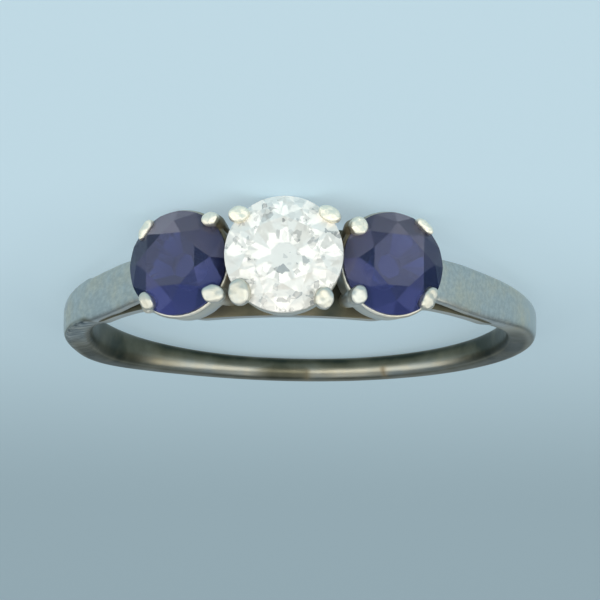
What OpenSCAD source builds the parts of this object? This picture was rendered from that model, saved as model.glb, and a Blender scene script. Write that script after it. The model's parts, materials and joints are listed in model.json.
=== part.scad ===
// Three stone ring in soldered white metal: a round diamond between two round sapphires.
// The ring lies on its side, on the edge of the middle stone and the back of the shank.
// Lengths are millimetres. Angles round the finger start at the middle stone.

/* [Finger hole] */
// Diameter of the finger hole
bore_d = 17.2; // [15:0.1:20]

/* [Shank] */
// Width of the shank at the back, along the finger
shank_w = 0.95; // [0.8:0.05:1.5]
// Thickness of the shank at the back
shank_t = 1.05; // [0.8:0.05:1.6]
// Thickness of the shank at its two sides
side_t = 1.25; // [0.9:0.05:1.8]
// Extra width of the worn left side, toward the raised edge
left_spread = 0.3; // [0:0.02:0.4]

/* [Shoulders] */
// Greatest width of a shoulder, along the finger
shoulder_w = 1.92; // [1.6:0.05:2.6]
// Thickness of the flat strip that a shoulder ends in
strip_t = 0.46; // [0.36:0.02:0.7]
// Height of the strip's underside above the finger hole, where it meets a side head
strip_rise = 0.72; // [0.6:0.02:0.9]

/* [Gallery] */
// Width of the band under the heads, along the finger
gallery_w = 3.5; // [3.2:0.05:4]
// Width of that band between the heads and the shoulders
gallery_neck_w = 2.06; // [2:0.02:2.4]
// Thickness of the band
gallery_t = 0.42; // [0.36:0.02:0.54]

/* [Heads] */
// Diameter of a claw's tip on the middle head
claw_d = 0.9; // [0.8:0.02:1]
// Diameter of a claw's tip on the side heads
side_claw_d = 0.76; // [0.7:0.02:0.9]
// Diameter of a claw at its foot
claw_foot_d = 0.66; // [0.5:0.02:0.8]
// How much farther in the outermost claws lap over the sapphires
outer_lap = 0.26; // [0:0.02:0.3]
// Wall of the cup under each stone
cup_t = 0.42; // [0.3:0.02:0.5]
// Height of that cup
cup_h = 1.2; // [0.8:0.05:1.4]
// Gap between a stone and the metal round it
stone_gap = 0.04; // [0.03:0.01:0.06]
// How much farther apart the centres of neighbouring stones are than their radii add up to
stone_spacing = 0.06; // [0.05:0.01:0.3]

/* [Middle stone] */
// Diameter of the diamond
centre_d = 4.74; // [4.4:0.02:5]
// Height of its edge above the finger hole
centre_rise = 3.34; // [3.2:0.02:3.8]
// Width of its table, as a share of its diameter
centre_table = 0.58; // [0.5:0.01:0.64]

/* [Side stones] */
// Diameter of the left sapphire
left_d = 4.28; // [4:0.02:4.4]
// Diameter of the right sapphire
right_d = 4.2; // [4:0.02:4.4]
// Height of their edges above the finger hole
side_rise = 2.6; // [2.5:0.02:3]
// Width of its table, as a share of its diameter
side_table = 0.54; // [0.48:0.01:0.6]

/* [Cut] */
// Slope of the facets above the edge of a stone, in degrees
crown_angle = 34; // [28:1:38]
// Slope of the facets below the edge, in degrees
pavilion_angle = 40; // [38:1:41]
// Thickness of the edge, as a share of the diameter
girdle_share = 0.036; // [0.03:0.002:0.05]

/* [Hidden] */
$fn = 64;

bore_r = bore_d / 2;
centre_h = bore_r + centre_rise;
side_h = bore_r + side_rise;

// Diameter of the stone on a side, left being 1 and right -1, and the angle from the middle
// head to its own, from the distance between the two stones
function side_d(side) = side > 0 ? left_d : right_d;
function angle_of(d) =
    let (step = (centre_d + d) / 2 + stone_spacing)
    acos((centre_h ^ 2 + side_h ^ 2 - step ^ 2) / (2 * centre_h * side_h));
side_angle = angle_of((left_d + right_d) / 2);

// Sections of the shank from a side head round to the back, a row for each.
// Columns: angle from the middle head, underside's height as a share of strip_rise,
// share of side_t and share of strip_t in the thickness (the rest is shank_t),
// share of shoulder_w in the width (the rest is shank_w), squareness of the section
ANGLE = 0;
RISE = 1;
SIDE = 2;
STRIP = 3;
WIDTH = 4;
SQUARE = 5;
shank_rows = [
    [side_angle + 9.6, 1.44, 0.00, 1.00, 0.82, 5.0],
    [side_angle + 14, 1.14, 0.00, 1.00, 0.84, 5.0],
    [side_angle + 20, 0.84, 0.00, 1.00, 0.92, 5.0],
    [side_angle + 26, 0.54, 0.00, 1.00, 1.00, 4.8],
    [side_angle + 32, 0.26, 0.00, 0.88, 1.00, 5.0],
    [side_angle + 39, 0.06, 0.05, 0.66, 0.97, 5.2],
    [side_angle + 47, 0.00, 0.25, 0.40, 0.85, 5.2],
    [side_angle + 57, 0.00, 0.62, 0.14, 0.64, 4.6],
    [90, 0.00, 1.00, 0.00, 0.50, 4.0],
    [108, 0.00, 0.86, 0.00, 0.36, 3.4],
    [132, 0.00, 0.46, 0.00, 0.18, 2.8],
    [156, 0.00, 0.12, 0.00, 0.05, 2.4],
    [180, 0.00, 0.00, 0.00, 0.00, 2.4],
];
shank_step = 4;
section_points = 16;
// Where the worn side is widest, and how far round it fades
spread_angle = 108;
spread_fade = 26;
// How far the sections reach into the finger hole before it is cut, and the rise that ends it
bore_overlap = 0.06;
overlap_end = 0.12;

// The gallery: angles where it starts to narrow, where its neck starts, and where it starts
// to taper into the shank, and its end
gallery_top = bore_r + gallery_t;
narrow_from = side_angle - 1;
neck_from = side_angle + 18;
taper_from = side_angle + 37;
gallery_end = side_angle + 47;
end_taper = 0.2;
gallery_step = 2;
hole_margin = 0.24;

// Claws: feet in the gallery, an elbow beside the stone's edge and a tip over the crown
claw_turn = 43;
outer_turn = 50;
claw_lean = 0.86;
claw_neck = 0.42;
claw_elbow = 0.46;
foot_sink = 0.26;
elbow_out = 0.08;
elbow_lap = 0.4;
tip_rise = 0.26;
tip_out = 0.05;
// Cups: how far the rims stand out past the stones, and the foot in from them
centre_rim = -0.02;
side_rim = 0.03;
cup_taper = 0.14;

// Shape of a cut stone, as shares of its radius
star_share = 0.5;
lower_half_share = 0.76;
cut_sides = 8;
half_side = 180 / cut_sides;
edge_points = 4;

// The ring's own tilt as it lies, on the back of the shank and the edge of a stone or its cup
back_h = bore_r + shank_t / 2;
function tilt_on(half, h) =
    atan2(half, h + back_h) - asin(shank_w / 2 / norm([h + back_h, half]));
rest_tilt = max([
    tilt_on(centre_d / 2, centre_h),
    for (d = [left_d, right_d]) tilt_on(d / 2 + side_rim, side_h * cos(angle_of(d))),
]);
rest_lift = back_h * sin(rest_tilt) + shank_w / 2;

// Value of one column at an angle, on a smooth curve through the rows
function row_under(a, i = 0) =
    i >= len(shank_rows) - 2 || shank_rows[i + 1][ANGLE] >= a ? i : row_under(a, i + 1);
function smooth_curve(p, q, r, s, t) =
    q + t * ((r - p) / 2 + t * (p - 2.5 * q + 2 * r - s / 2 + t * ((s - p) / 2 + 1.5 * (q - r))));
function shank_value(a, column) =
    let (
        last = len(shank_rows) - 1,
        i = row_under(a),
        t = (a - shank_rows[i][ANGLE]) / (shank_rows[i + 1][ANGLE] - shank_rows[i][ANGLE]),
        before = shank_rows[max(i - 1, 0)][column],
        after = shank_rows[i + 2 > last ? last - 1 : i + 2][column]
    )
    smooth_curve(before, shank_rows[i][column], shank_rows[i + 1][column], after, min(max(t, 0), 1));

// One section of the shank, in the order that the surface is joined
function shank_section(turn) =
    let (
        a = turn > 180 ? 360 - turn : turn,
        side = shank_value(a, SIDE),
        strip = shank_value(a, STRIP),
        thick = side_t * side + strip_t * strip + shank_t * (1 - side - strip),
        share = shank_value(a, WIDTH),
        half_w = (shoulder_w * share + shank_w * (1 - share)) / 2,
        lift = strip_rise * max(shank_value(a, RISE), 0),
        spread = left_spread * exp(-((turn - spread_angle) / spread_fade) ^ 2),
        inner = bore_r + lift - bore_overlap * max(0, 1 - lift / overlap_end),
        outer = bore_r + lift + thick,
        power = 2 / shank_value(a, SQUARE)
    )
    [for (k = [0 : section_points - 1])
        let (
            c = cos(360 * (k + 0.5) / section_points),
            s = sin(360 * (k + 0.5) / section_points),
            r = (inner + outer) / 2 + (outer - inner) / 2 * sign(c) * abs(c) ^ power,
            w = (s > 0 ? half_w + spread : -half_w) * abs(s) ^ power
        )
        [r * sin(turn), -r * cos(turn), w]];

// The shank and both shoulder strips, from one side head round the back to the other
module shank() {
    start = shank_rows[0][ANGLE];
    stations = 2 * round((180 - start) / shank_step);
    turns = [for (i = [0 : stations]) start + (360 - 2 * start) * i / stations];
    n = section_points;
    points = [for (turn = turns) each shank_section(turn)];
    sides = [for (i = [0 : stations - 1], k = [0 : n - 1])
        let (a = i * n + k, b = i * n + (k + 1) % n)
        each [[a, b, a + n], [b, b + n, a + n]]];
    first_cap = [for (k = [n - 1 : -1 : 0]) k];
    last_cap = [for (k = [0 : n - 1]) stations * n + k];
    polyhedron(points = points, faces = concat(sides, [first_cap, last_cap]));
}

// Puts its children on the axis of a head, with that axis as their Z
module on_head(angle) {
    rotate([0, 0, angle]) rotate([90, 0, 0]) children();
}

// Half the gallery's width at an angle from the middle head
function ease(x) = x <= 0 ? 0 : x >= 1 ? 1 : x ^ 2 * (3 - 2 * x);
function gallery_half(a) =
    gallery_w / 2
    - (gallery_w - gallery_neck_w) / 2 * ease((a - narrow_from) / (neck_from - narrow_from))
    - end_taper * ease((a - taper_from) / (gallery_end - taper_from));

// Band under the heads round the finger, narrower where it meets the shoulders
module gallery() {
    steps = ceil(gallery_end / gallery_step);
    edge = [for (i = [-steps : steps]) gallery_end * i / steps];
    intersection() {
        rotate_extrude(angle = 2 * gallery_end, start = 270 - gallery_end, $fn = 128)
            translate([bore_r - bore_overlap, -gallery_w])
                square([gallery_t + bore_overlap, 2 * gallery_w]);
        on_head(0) linear_extrude(2 * gallery_top) polygon(concat(
            [for (a = edge) [gallery_top * sin(a), gallery_half(abs(a))]],
            [for (a = edge) [-gallery_top * sin(a), -gallery_half(abs(a))]]
        ));
    }
}

// Heights of a stone's parts above its lower edge, from its radius and table share
function girdle_t(r) = 2 * r * girdle_share;
function table_r(r, table) = r * table;
function table_z(r, table) = girdle_t(r) + (r - table_r(r, table)) * tan(crown_angle);
function star_r(r, table) = table_r(r, table) + (r - table_r(r, table)) * star_share;
function star_z(r, table) = girdle_t(r) + (r - star_r(r, table) * cos(half_side)) * tan(crown_angle);
function half_r(r) = r * (1 - lower_half_share);
function half_z(r) = -(r - half_r(r) * cos(half_side)) * tan(pavilion_angle);
function culet_z(r) = -r * tan(pavilion_angle);

function at(r, a, z) = [r * cos(a), r * sin(a), z];
function cross_z(p, q, s, x, y) =
    let (m = cross(q - p, s - p)) p[2] - (m[0] * (x - p[0]) + m[1] * (y - p[1])) / m[2];

// Round brilliant: table, stars, kites, upper and lower halves and pavilion mains.
// Points of the round edge lie on the planes of the halves, so every facet is flat.
module brilliant(r, table) {
    corners = [for (k = [0 : cut_sides - 1]) 2 * half_side * k];
    top = [for (a = corners) at(table_r(r, table), a, table_z(r, table))];
    stars = [for (a = corners) at(star_r(r, table), a + half_side, star_z(r, table))];
    halves = [for (a = corners) at(half_r(r), a + half_side, half_z(r))];
    edge = [for (a = corners, s = [-1, 1], j = [0 : edge_points])
        let (
            turn = a + s * half_side * j / edge_points,
            corner_up = at(r, a, girdle_t(r)),
            between_up = at(r, a + s * half_side, girdle_t(r)),
            star = at(star_r(r, table), a + s * half_side, star_z(r, table)),
            corner_down = at(r, a, 0),
            between_down = at(r, a + s * half_side, 0),
            half = at(half_r(r), a + s * half_side, half_z(r)),
            x = r * cos(turn),
            y = r * sin(turn)
        )
        each [[x, y, cross_z(corner_up, between_up, star, x, y)],
              [x, y, cross_z(corner_down, between_down, half, x, y)]]];
    points = concat(top, stars, halves, edge, [[0, 0, culet_z(r)]]);
    hull() polyhedron(points = points, faces = [for (i = [0 : 3 : len(points) - 3]) [i, i + 1, i + 2]]);
}

// Turned space that a stone needs in the metal, its gap included
module stone_space(r, table) {
    g = stone_gap;
    rotate_extrude() polygon([
        [0, culet_z(r) - 2 * g],
        [half_r(r) + g, half_z(r) - g],
        [r + g, -g],
        [r + g, girdle_t(r) + g],
        [star_r(r, table) + g, star_z(r, table) + g],
        [table_r(r, table), table_z(r, table) + g],
        [0, table_z(r, table) + g],
    ]);
}

// Distance of the claws' feet from a head's axis, and the hole through the gallery between them
function foot_r(r) = r * claw_lean - claw_foot_d;
function hole_r(r) = foot_r(r) - hole_margin;
function tip_z(r) = girdle_t(r) + tip_rise;

// One claw: a leaning tapered post beside the stone, bent over it at a round tip
module claw(r, h, d, lap) {
    low = [foot_r(r), 0, gallery_top - foot_sink - h];
    elbow = [r + elbow_out - lap * elbow_lap, 0, girdle_t(r) / 2];
    run = elbow - low;
    translate(low) rotate([0, atan2(run[0], run[2]), 0])
        cylinder(r1 = claw_foot_d / 2, r2 = d * claw_neck, h = norm(run));
    translate(elbow) sphere(d * claw_elbow);
    translate([r + tip_out - lap, 0, tip_z(r)]) sphere(d / 2);
}

// Four claws and the cup under the stone's edge. Z is 0 at the lower edge of the stone,
// which is h above the finger's axis. The claws on the X side may stand and lap differently.
module head(r, h, rim, d, x_turn, x_lap) {
    for (a = [-1, 1]) {
        rotate([0, 0, a * x_turn]) claw(r, h, d, x_lap);
        rotate([0, 0, 180 + a * claw_turn]) claw(r, h, d, 0);
    }
    translate([0, 0, -stone_gap - cup_h]) difference() {
        cylinder(r1 = r - cup_taper, r2 = r + rim, h = cup_h);
        translate([0, 0, -cup_h]) cylinder(r = r - cup_taper - cup_t, h = 3 * cup_h);
    }
}

// Foremost and rearmost points of the ring as it lies, from the finger's axis
claw_front = (centre_h + tip_z(centre_d / 2)) * cos(rest_tilt)
    + (centre_d / 2 + tip_out) * sin(claw_turn) * sin(rest_tilt) + claw_d / 2;
table_front = (centre_h + table_z(centre_d / 2, centre_table)) * cos(rest_tilt)
    + table_r(centre_d / 2, centre_table) * sin(rest_tilt);
back = max([for (p = shank_section(180)) p[1] * cos(rest_tilt) + p[2] * sin(rest_tilt)]);

// Lays the ring down as it rests, with the middle of its box over the origin
module at_rest() {
    translate([0, (max(claw_front, table_front) - back) / 2, rest_lift])
        rotate([-rest_tilt, 0, 0]) children();
}

// Puts its children on a side head's axis with their X away from the middle stone
module on_side_head(side) {
    on_head(side * angle_of(side_d(side))) rotate([0, 0, side > 0 ? 0 : 180]) children();
}

module ring_mount() {
    color("#b9bdb6") at_rest() difference() {
        union() {
            shank();
            gallery();
            on_head(0) translate([0, 0, centre_h])
                head(centre_d / 2, centre_h, centre_rim, claw_d, claw_turn, 0);
            for (side = [-1, 1])
                on_side_head(side) translate([0, 0, side_h])
                    head(side_d(side) / 2, side_h, side_rim, side_claw_d, outer_turn, outer_lap);
        }
        translate([0, 0, -2 * gallery_w]) cylinder(r = bore_r, h = 4 * gallery_w, $fn = 128);
        on_head(0) cylinder(r = hole_r(centre_d / 2), h = centre_h);
        on_head(0) translate([0, 0, centre_h]) stone_space(centre_d / 2, centre_table);
        for (side = [-1, 1]) {
            on_side_head(side) cylinder(r = hole_r(side_d(side) / 2), h = side_h);
            on_side_head(side) translate([0, 0, side_h]) stone_space(side_d(side) / 2, side_table);
        }
    }
}

module centre_diamond() {
    color("#f3f5f3") at_rest() on_head(0) translate([0, 0, centre_h])
        brilliant(centre_d / 2, centre_table);
}

// The sapphires' facets are turned by half a side, as the stones sit in the heads
module sapphire(side) {
    color("#2d3470") at_rest() on_side_head(side) translate([0, 0, side_h])
        rotate([0, 0, half_side]) brilliant(side_d(side) / 2, side_table);
}

module left_sapphire() {
    sapphire(1);
}

module right_sapphire() {
    sapphire(-1);
}

ring_mount();
centre_diamond();
left_sapphire();
right_sapphire();
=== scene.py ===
"""Three stone ring in worn white gold, lying on its side: a round diamond between two round sapphires."""
import json

import bpy
import numpy as np
from mathutils import Matrix


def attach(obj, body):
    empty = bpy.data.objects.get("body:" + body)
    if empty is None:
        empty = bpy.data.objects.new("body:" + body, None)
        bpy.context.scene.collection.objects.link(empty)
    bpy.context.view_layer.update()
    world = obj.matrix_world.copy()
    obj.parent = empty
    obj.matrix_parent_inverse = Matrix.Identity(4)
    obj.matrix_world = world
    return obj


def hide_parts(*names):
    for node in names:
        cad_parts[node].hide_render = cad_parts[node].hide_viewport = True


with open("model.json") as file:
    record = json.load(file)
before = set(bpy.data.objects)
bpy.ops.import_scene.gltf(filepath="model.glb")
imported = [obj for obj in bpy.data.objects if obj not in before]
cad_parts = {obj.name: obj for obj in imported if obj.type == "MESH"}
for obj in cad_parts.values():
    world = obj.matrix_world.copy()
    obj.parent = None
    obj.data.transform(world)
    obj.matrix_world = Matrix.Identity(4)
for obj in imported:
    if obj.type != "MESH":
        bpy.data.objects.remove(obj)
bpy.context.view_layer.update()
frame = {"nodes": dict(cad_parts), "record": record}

MM = 0.001
UP = np.array([0, 0, 1.0])

# The finger hole: its middle and its axis in the part's frame, and its radius in millimetres.
# The ring's own frame has its origin there, Z along the finger, -Y toward the middle stone
# and +X toward the left sapphire. Angles round the finger start at the middle stone and grow
# toward the left one.
finger_hole = next(m for m in frame["record"]["mounts"] if m["name"] == "finger_hole")
HOLE_MIDDLE = np.array(finger_hole["pos_m"])
HOLE_AXIS = np.array(finger_hole["axis"])
BORE_R = finger_hole["dims"]["r_mm"]
REST_TURN = np.array([[1, 0, 0], [0, HOLE_AXIS[2], HOLE_AXIS[1]], [0, -HOLE_AXIS[1], HOLE_AXIS[2]]])

# Sizes of the metal in millimetres: widths (W) run along the finger and thicknesses (T) out
# from it. They are those of the frame's solids, apart from the gallery's width, which is
# 0.1 mm more here so that its edge shows under the heads.
SHANK_W = 0.95
SHANK_T = 1.05
SIDE_T = 1.25
LEFT_SPREAD = 0.3
SHOULDER_W = 1.92
STRIP_T = 0.46
STRIP_RISE = 0.72
GALLERY_W = 3.6
GALLERY_NECK_W = 2.06
GALLERY_T = 0.42
GALLERY_TOP = BORE_R + GALLERY_T
STONE_GAP = 0.04
PAVILION_ANGLE = np.radians(40)
GIRDLE_SHARE = 0.036

# Heads: diameter of the stone, height of the lower side of its edge over the finger's axis,
# and how far the rim of the cup stands out past it
CENTRE_D = 4.74
CENTRE_H = BORE_R + 3.34
CENTRE_RIM = 0.02
LEFT_D = 4.28
RIGHT_D = 4.2
SIDE_H = BORE_R + 2.6
SIDE_RIM = 0.1
STONE_SPACING = 0.06


def head_angle(diameter):
    """Angle from the middle head to a side head, from the distance between the two stones."""
    step = (CENTRE_D + diameter) / 2 + STONE_SPACING
    return np.arccos((CENTRE_H**2 + SIDE_H**2 - step**2) / (2 * CENTRE_H * SIDE_H))


LEFT_ANGLE = head_angle(LEFT_D)
RIGHT_ANGLE = head_angle(RIGHT_D)
SIDE_ANGLE = np.degrees(head_angle((LEFT_D + RIGHT_D) / 2))

# The way a side stone's top faces, in the part's frame and without its signs
SIDE_TABLE = np.abs(REST_TURN @ [np.sin(LEFT_ANGLE), -np.cos(LEFT_ANGLE), 0])


def to_part(points):
    """Millimetres in the ring's frame to metres in the part's frame: turned by the rest tilt, then moved."""
    return (points * MM) @ REST_TURN.T + HOLE_MIDDLE


def to_ring(points):
    """Metres in the part's frame to millimetres in the ring's frame."""
    return (points - HOLE_MIDDLE) @ REST_TURN / MM


# Meshes


def ramp(x, start, end):
    """0 before start, 1 after end, and a smooth S curve between them."""
    t = np.clip((x - start) / (end - start), 0, 1)
    return t * t * (3 - 2 * t)


def bump(x, middle, reach):
    """A bell curve of height 1 at middle that falls to 1/e at reach from it."""
    return np.exp(-(((x - middle) / reach) ** 2))


def tube_faces(rows, columns, closed=False):
    """Quads between neighbouring rows of a grid whose columns close round. If closed, the rows close too."""
    i, k = np.meshgrid(np.arange(rows if closed else rows - 1), np.arange(columns), indexing="ij")
    j, m = (i + 1) % rows, (k + 1) % columns
    return np.stack([i * columns + k, i * columns + m, j * columns + m, j * columns + k], -1).reshape(-1, 4)


def shell(grid, closed=False):
    """Points and faces of a grid of points carried round (columns) and along (rows).
    Unless the rows close too, a fan to the mean point of each end row closes the shell."""
    rows, columns = grid.shape[:2]
    points = grid.reshape(-1, 3)
    faces = tube_faces(rows, columns, closed).tolist()
    if not closed:
        points = np.vstack([points, grid[0].mean(0), grid[-1].mean(0)])
        k = np.arange(columns)
        m = (k + 1) % columns
        first, last = len(points) - 2, len(points) - 1
        end = (rows - 1) * columns
        faces += np.stack([m, k, np.full(columns, first)], -1).tolist()
        faces += np.stack([end + k, end + m, np.full(columns, last)], -1).tolist()
    return points, faces


def joined(shells):
    """Several shells as one list of points and faces."""
    points, faces, start = [], [], 0
    for shell_points, shell_faces in shells:
        points.append(shell_points)
        faces += [[start + i for i in face] for face in shell_faces]
        start += len(shell_points)
    return np.vstack(points), faces


def put(name, points, faces):
    """A new object at the origin with these points of the ring's frame, its faces turned outwards."""
    mesh = bpy.data.meshes.new(name)
    mesh.from_pydata(to_part(points).tolist(), [], faces)
    mesh.update()
    obj = bpy.data.objects.new(name, mesh)
    bpy.context.scene.collection.objects.link(obj)
    if signed_volume(mesh) < 0:
        mesh.flip_normals()
    return obj


def signed_volume(mesh):
    """Volume inside a closed mesh, from its triangles. It is negative if the faces point inwards."""
    mesh.calc_loop_triangles()
    corners = np.zeros(len(mesh.loop_triangles) * 3, np.int32)
    mesh.loop_triangles.foreach_get("vertices", corners)
    a, b, c = (vertex_places(mesh)[corners.reshape(-1, 3)[:, i]] for i in range(3))
    return float(np.einsum("ij,ij->i", a, np.cross(b, c)).sum() / 6)


def vertex_places(mesh):
    """Places of a mesh's vertices as an array."""
    places = np.zeros(len(mesh.vertices) * 3)
    mesh.vertices.foreach_get("co", places)
    return places.reshape(-1, 3)


def apply_modifiers(obj):
    """Puts what an object's modifiers make into its own mesh."""
    evaluated = obj.evaluated_get(bpy.context.evaluated_depsgraph_get())
    finished = bpy.data.meshes.new_from_object(evaluated)
    obj.modifiers.clear()
    obj.data = finished


def fuse(obj, grain, rounds):
    """Fuses overlapping shells into one skin of the given grain in millimetres, and smooths their joints."""
    remesh = obj.modifiers.new("fuse", "REMESH")
    remesh.mode = "VOXEL"
    remesh.voxel_size = grain * MM
    remesh.adaptivity = 0
    smooth = obj.modifiers.new("fillet", "SMOOTH")
    smooth.factor = 0.5
    smooth.iterations = rounds
    apply_modifiers(obj)


# Marks of a setter's punch: their depth in millimetres, and the sine waves that cross in them,
# each a direction in radians to a millimetre of the ring's frame and a shift
DENT_DEPTH = 0.018
DENT_WAVES = (((15, 8, 5), 1.0), ((-6, 12, 11), 0.0), ((8, -9, 15), 2.0))


def dent(obj, share):
    """Moves each vertex along its normal by the mean of three crossed sine waves, DENT_DEPTH deep
    where share is 1, as blows of a setter's punch leave it."""
    places = vertex_places(obj.data)
    p = to_ring(places)
    normals = np.zeros(places.size)
    obj.data.vertex_normals.foreach_get("vector", normals)
    waves = sum(np.sin(p @ wave + shift) for wave, shift in DENT_WAVES) / len(DENT_WAVES)
    places += normals.reshape(-1, 3) * (DENT_DEPTH * MM * share * waves)[:, None]
    obj.data.vertices.foreach_set("co", places.ravel())
    obj.data.update()


def paint(obj, name, values):
    """Keeps one number from 0 to 1 for each vertex, which the materials read by this name."""
    layer = obj.data.attributes.new(name, "FLOAT", "POINT")
    layer.data.foreach_set("value", np.clip(values, 0, 1).astype(np.float32))


# The shank


# Sections from a side head round to the back, a row for each. Columns: angle from the middle
# head, underside's height as a share of STRIP_RISE, share of SIDE_T and share of STRIP_T in the
# thickness (the rest is SHANK_T), share of SHOULDER_W in the width (the rest is SHANK_W),
# squareness of the section
SHANK_ROWS = np.array([
    [SIDE_ANGLE + 9.6, 1.44, 0.00, 1.00, 0.82, 5.0],
    [SIDE_ANGLE + 14, 1.14, 0.00, 1.00, 0.84, 5.0],
    [SIDE_ANGLE + 20, 0.84, 0.00, 1.00, 0.92, 5.0],
    [SIDE_ANGLE + 26, 0.54, 0.00, 1.00, 1.00, 4.8],
    [SIDE_ANGLE + 32, 0.26, 0.00, 0.88, 1.00, 5.0],
    [SIDE_ANGLE + 39, 0.06, 0.05, 0.66, 0.97, 5.2],
    [SIDE_ANGLE + 47, 0.00, 0.25, 0.40, 0.85, 5.2],
    [SIDE_ANGLE + 57, 0.00, 0.62, 0.14, 0.64, 4.6],
    [90, 0.00, 1.00, 0.00, 0.50, 4.0],
    [108, 0.00, 0.86, 0.00, 0.36, 3.4],
    [132, 0.00, 0.46, 0.00, 0.18, 2.8],
    [156, 0.00, 0.12, 0.00, 0.05, 2.4],
    [180, 0.00, 0.00, 0.00, 0.00, 2.4],
])
SHANK_STATIONS = 460
SECTION_POINTS = 88

# Wear on the left side: where it has spread the raised half, and the flat on its flank. The
# flat's ends are in degrees, its start bends away with the radius past FLAT_INNER, and its depth
# grows between two shares of the raised half's width.
SPREAD_ANGLE = 108
SPREAD_FADE = 26
FLAT_FROM = 65.5
FLAT_TO = 98
FLAT_EDGE = 0.8
FLAT_FADE = 10
FLAT_CURVE = 70
FLAT_INNER = 0.6
FLAT_DEPTH = 0.06
FLAT_HEIGHTS = (0.7, 0.98)

# Where film and painted shade, stains and scratches begin and end on the shank; the film on the
# inner wall and the raised flank, and the dull patch, are partly a painted dark reflection. Radii
# are in millimetres, turns in degrees from the middle stone, and heights in shares of the raised
# half's width. On the right the flank's film starts RIGHT_LEAD degrees sooner. The wire was once cut
# at the seams to change its size. PATCH_END and SIDE_STAIN are the middle and reach of a bell curve.
# Plain numbers up to 1 in the formulas that paint a piece say how strongly a zone counts.
WALL_RADII = (BORE_R + 0.05, BORE_R + 0.5)
OUTER_RADII = (BORE_R + 0.7, BORE_R + 1.0)
FLANK_HEIGHTS = (0.72, 0.94)
EDGE_HEIGHTS = (-0.05, 0.32)
THIN_HEIGHTS = (-0.7, 0)
SEAM_HEIGHTS = (-0.2, 0.4)
RIM_HEIGHTS = (0.6, 0.8)
SCRATCH_HEIGHTS = (0.7, 0.9)
FILM_AND_SHADE_TURNS = (52, 76)
BACK_TURNS = (78, 104)
RIGHT_LEAD = 14
THIN_TURNS = (112, 140)
EDGE_TURNS = (114, 150)
SEAMS = (179, 201.5)
SEAM_REACH = 0.8
PATCH_TURNS = (157, 170)
PATCH_FADE_TURNS = (183, 194)
PATCH_END = (199, 5)
PATCH_RADII = (BORE_R + 0.6, BORE_R + 0.95)
SIDE_STAIN = (100, 14)


def shank_columns(angle):
    """Values of the section table at each angle, on a smooth curve through the rows (Catmull-Rom)."""
    rows = np.vstack([SHANK_ROWS[0], SHANK_ROWS, SHANK_ROWS[-2]])
    i = np.clip(np.searchsorted(SHANK_ROWS[:, 0], angle) - 1, 0, len(SHANK_ROWS) - 2)
    p, q, r, s = (rows[i + k, 1:] for k in range(4))
    t = np.clip((angle - SHANK_ROWS[i, 0]) / (SHANK_ROWS[i + 1, 0] - SHANK_ROWS[i, 0]), 0, 1)[:, None]
    return q + t * ((r - p) / 2 + t * (p - 2.5 * q + 2 * r - s / 2 + t * ((s - p) / 2 + 1.5 * (q - r))))


def raised_half(turn):
    """Width of the shank's raised half: half the section's width, and on the left side a bell curve
    of the angle more."""
    width = shank_columns(np.where(turn > 180, 360 - turn, turn))[:, 3]
    spread = LEFT_SPREAD * bump(turn, SPREAD_ANGLE, SPREAD_FADE)
    return (SHOULDER_W * width + SHANK_W * (1 - width)) / 2 + spread


def past_flat(turn, radius):
    """Degrees past the line where the worn flat begins: its angle grows with the square of the radius."""
    return turn - FLAT_FROM - FLAT_CURVE * np.maximum(radius - BORE_R - FLAT_INNER, 0) ** 2


def worn_flat(turn, radius):
    """1 on the flat that wear has left on the left side's raised flank, 0 elsewhere."""
    begun = ramp(past_flat(turn, radius), -FLAT_EDGE, FLAT_EDGE)
    return begun * (1 - ramp(turn, FLAT_TO, FLAT_TO + FLAT_FADE))


def shank_grid():
    """Superellipse sections carried round the finger. Each spans inner to outer radius, half the
    width on the lower side and raised_half on the other, which is lowered a little where it is worn flat."""
    start = SHANK_ROWS[0, 0]
    turn = np.linspace(start, 360 - start, SHANK_STATIONS)
    rise, side, strip, width, square = shank_columns(np.where(turn > 180, 360 - turn, turn)).T
    thick = SIDE_T * side + STRIP_T * strip + SHANK_T * (1 - side - strip)
    half_w = (SHOULDER_W * width + SHANK_W * (1 - width)) / 2
    inner = BORE_R + STRIP_RISE * np.maximum(rise, 0)
    around = 2 * np.pi * (np.arange(SECTION_POINTS) + 0.5) / SECTION_POINTS
    c, s = np.cos(around)[None], np.sin(around)[None]
    power = (2 / square)[:, None]
    radius = (inner + thick / 2)[:, None] + (thick / 2)[:, None] * np.sign(c) * np.abs(c) ** power
    above = np.where(s > 0, raised_half(turn)[:, None], -half_w[:, None])
    along = above * np.abs(s) ** power
    flat = worn_flat(turn[:, None] + 0 * radius, radius)
    along -= FLAT_DEPTH * flat * ramp(along / above, *FLAT_HEIGHTS)
    angle = np.radians(turn)[:, None]
    return np.stack([radius * np.sin(angle), -radius * np.cos(angle), along], -1)


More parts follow.
